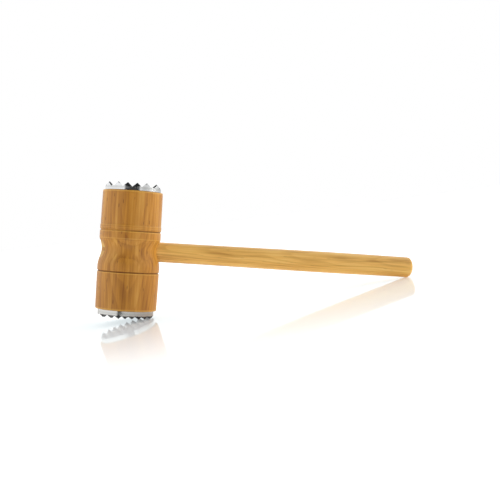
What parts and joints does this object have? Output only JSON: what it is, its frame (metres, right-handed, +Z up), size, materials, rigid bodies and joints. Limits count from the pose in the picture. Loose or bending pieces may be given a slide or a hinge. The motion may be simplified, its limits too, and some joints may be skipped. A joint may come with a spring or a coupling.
{
  "type": "meat mallet",
  "caption": "Wooden meat mallet: turned barrel head with a coarse and a fine toothed metal plate, on a round tapered handle, resting on its lower plate and butt.",
  "frame": {"origin": "bottom centre of the box round the resting tool, on the table it leans on", "axes": "+Z up from the table, +X the way the handle points from the head to the butt, seen from above, +Y across the tool"},
  "size_m": [0.3218, 0.0576, 0.1317],
  "materials": {
    "head_wood": "turned and lightly oiled, long grain along the head",
    "handle_wood": "turned and sanded smooth, long grain along the handle",
    "wedge_wood": "darker hardwood, sawn and sanded flush",
    "cast_aluminium": "bright, polished teeth",
    "screw_steel": "bright zinc-plated"
  },
  "bodies": {
    "root": {"head_barrel": "head_wood", "handle": "handle_wood", "handle_wedge": "wedge_wood", "coarse_plate": "cast_aluminium", "fine_plate": "cast_aluminium", "coarse_plate_screw": "screw_steel", "fine_plate_screw": "screw_steel"}
  },
  "joints": []
}
